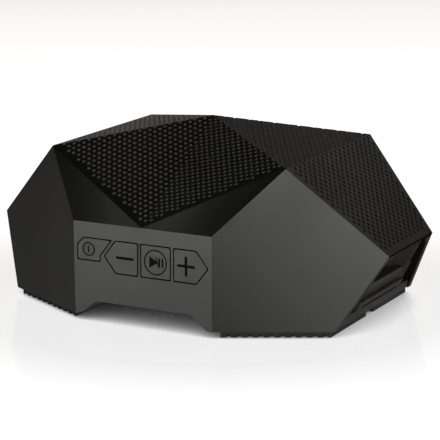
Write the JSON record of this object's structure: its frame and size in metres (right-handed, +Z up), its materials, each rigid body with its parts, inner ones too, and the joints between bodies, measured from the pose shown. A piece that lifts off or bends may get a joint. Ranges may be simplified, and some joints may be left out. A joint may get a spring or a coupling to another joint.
{
  "type": "portable speaker",
  "caption": "Faceted palm-sized wireless speaker with a perforated top grille, a row of flush keys in the front panel, angled drivers inside and ribbed rubber feet.",
  "frame": {"origin": "on the floor under the middle of the body", "axes": "+X along the body's length, -Y out of the key panel, +Z up"},
  "size_m": [0.14, 0.0952, 0.06],
  "materials": {
    "shell": "finely textured dark grey moulding",
    "key": "finely textured dark grey moulding",
    "grille": "dark satin, perforated",
    "cloth": "fine black acoustic cloth",
    "inner_plastic": "black moulding, lightly textured",
    "rubber": "soft black",
    "brass": "turned",
    "steel": "zinc plated",
    "board": "green solder mask",
    "chip": "moulded package",
    "can": "drawn cans",
    "magnet": "nickel plated",
    "cone": "coated paper pulp",
    "coil": "enamelled copper wire",
    "cell_wrap": "can in a blue shrink wrap"
  },
  "bodies": {
    "speaker": {"housing": "shell", "grille": "grille", "dust_cloth": "cloth", "speaker_box": "inner_plastic", "base_cover": "inner_plastic", "base_seal": "rubber", "foot_front_left": "rubber", "foot_front_right": "rubber", "foot_rear_left": "rubber", "foot_rear_right": "rubber", "tripod_insert": "brass", "base_screws": "steel", "box_screws": "steel", "driver_screws": "steel", "key_membrane": "rubber", "key_board": "board", "dome_switches": "steel", "key_board_screws": "steel", "main_board": "board", "main_board_screws": "steel", "radio_module": "can", "amplifier_chip": "chip", "capacitors": "can", "usb_socket": "steel", "audio_socket": "chip", "cell_left": "cell_wrap", "cell_right": "cell_wrap", "cell_cradle": "inner_plastic", "cell_clamp": "inner_plastic", "cradle_screws": "steel", "clamp_screws": "steel", "left_basket": "steel", "left_yoke": "magnet", "left_magnet": "magnet", "left_surround": "rubber", "right_basket": "steel", "right_yoke": "magnet", "right_magnet": "magnet", "right_surround": "rubber"},
    "power_key_body": {"power_key": "key"},
    "minus_key_body": {"minus_key": "key"},
    "multi_key_body": {"multi_key": "key"},
    "plus_key_body": {"plus_key": "key"},
    "flap": {"port_flap": "rubber"},
    "left_cone_body": {"left_cone": "cone", "left_dust_cap": "cone", "left_voice_coil": "coil"},
    "right_cone_body": {"right_cone": "cone", "right_dust_cap": "cone", "right_voice_coil": "coil"}
  },
  "joints": [
    {"name": "power_press", "type": "slide", "parent": "speaker", "child": "power_key_body", "axis": [0, 1, 0], "range_m": [0, 0.0006], "stiffness_N_per_m": 600, "springref_m": -0.0005},
    {"name": "minus_press", "type": "slide", "parent": "speaker", "child": "minus_key_body", "axis": [0, 1, 0], "range_m": [0, 0.0006], "stiffness_N_per_m": 600, "springref_m": -0.0005},
    {"name": "multi_press", "type": "slide", "parent": "speaker", "child": "multi_key_body", "axis": [0, 1, 0], "range_m": [0, 0.0006], "stiffness_N_per_m": 600, "springref_m": -0.0005},
    {"name": "plus_press", "type": "slide", "parent": "speaker", "child": "plus_key_body", "axis": [0, 1, 0], "range_m": [0, 0.0006], "stiffness_N_per_m": 600, "springref_m": -0.0005},
    {"name": "flap_hinge", "type": "hinge", "parent": "speaker", "child": "flap", "pos_m": [0, 0.0466, 0.0197], "axis": [1, 0, 0], "range_deg": [0, 90]},
    {"name": "left_cone_stroke", "type": "slide", "parent": "speaker", "child": "left_cone_body", "axis": [-0.6943, 0, 0.7197], "range_m": [-0.001, 0.001], "stiffness_N_per_m": 1500, "deforming": ["left_surround"]},
    {"name": "right_cone_stroke", "type": "slide", "parent": "speaker", "child": "right_cone_body", "axis": [0.6943, 0, 0.7197], "range_m": [-0.001, 0.001], "stiffness_N_per_m": 1500, "deforming": ["right_surround"]}
  ]
}
